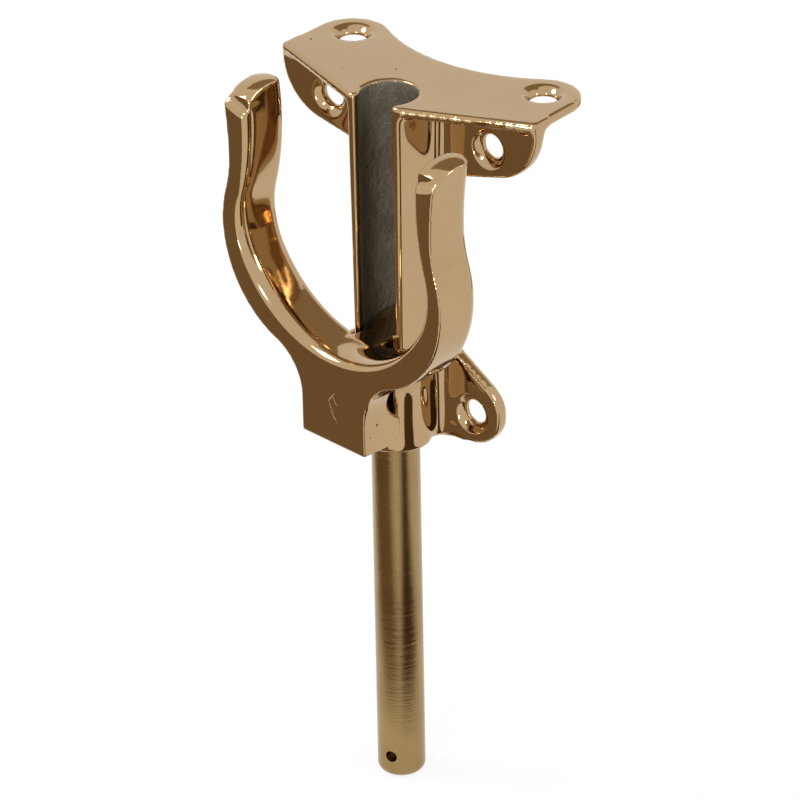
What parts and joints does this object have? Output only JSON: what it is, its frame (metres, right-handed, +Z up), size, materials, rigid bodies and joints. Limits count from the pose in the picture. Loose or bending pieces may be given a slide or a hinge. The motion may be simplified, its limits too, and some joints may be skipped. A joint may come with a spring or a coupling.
{
  "type": "side-mount rowlock",
  "caption": "Cast bronze rowlock: a slotted bracket with screw flange and ears, and an open fork on a cranked neck and round shank that lifts and turns in it.",
  "frame": {"origin": "midway between the two top screw holes, on the underside of the top flange, where it sits on the gunwale", "axes": "+Z up along the shank, +Y outboard over the gunwale, +X along the gunwale"},
  "size_m": [0.084, 0.0588, 0.1972],
  "materials": {
    "bronze": "polished cast bronze",
    "turned_rod": "turned, fine rings"
  },
  "bodies": {
    "bracket": {"bracket": "bronze"},
    "shank": {"shank": "turned_rod"},
    "fork": {"fork": "bronze"}
  },
  "joints": [
    {"name": "rowlock_lift", "type": "slide", "parent": "bracket", "child": "shank", "axis": [0, 0, 1], "range_m": [0, 0.092]},
    {"name": "rowlock_turn", "type": "hinge", "parent": "shank", "child": "fork", "pos_m": [0, -0.023, -0.08], "axis": [0, 0, 1], "range_deg": [-1.6, 14.4]}
  ]
}
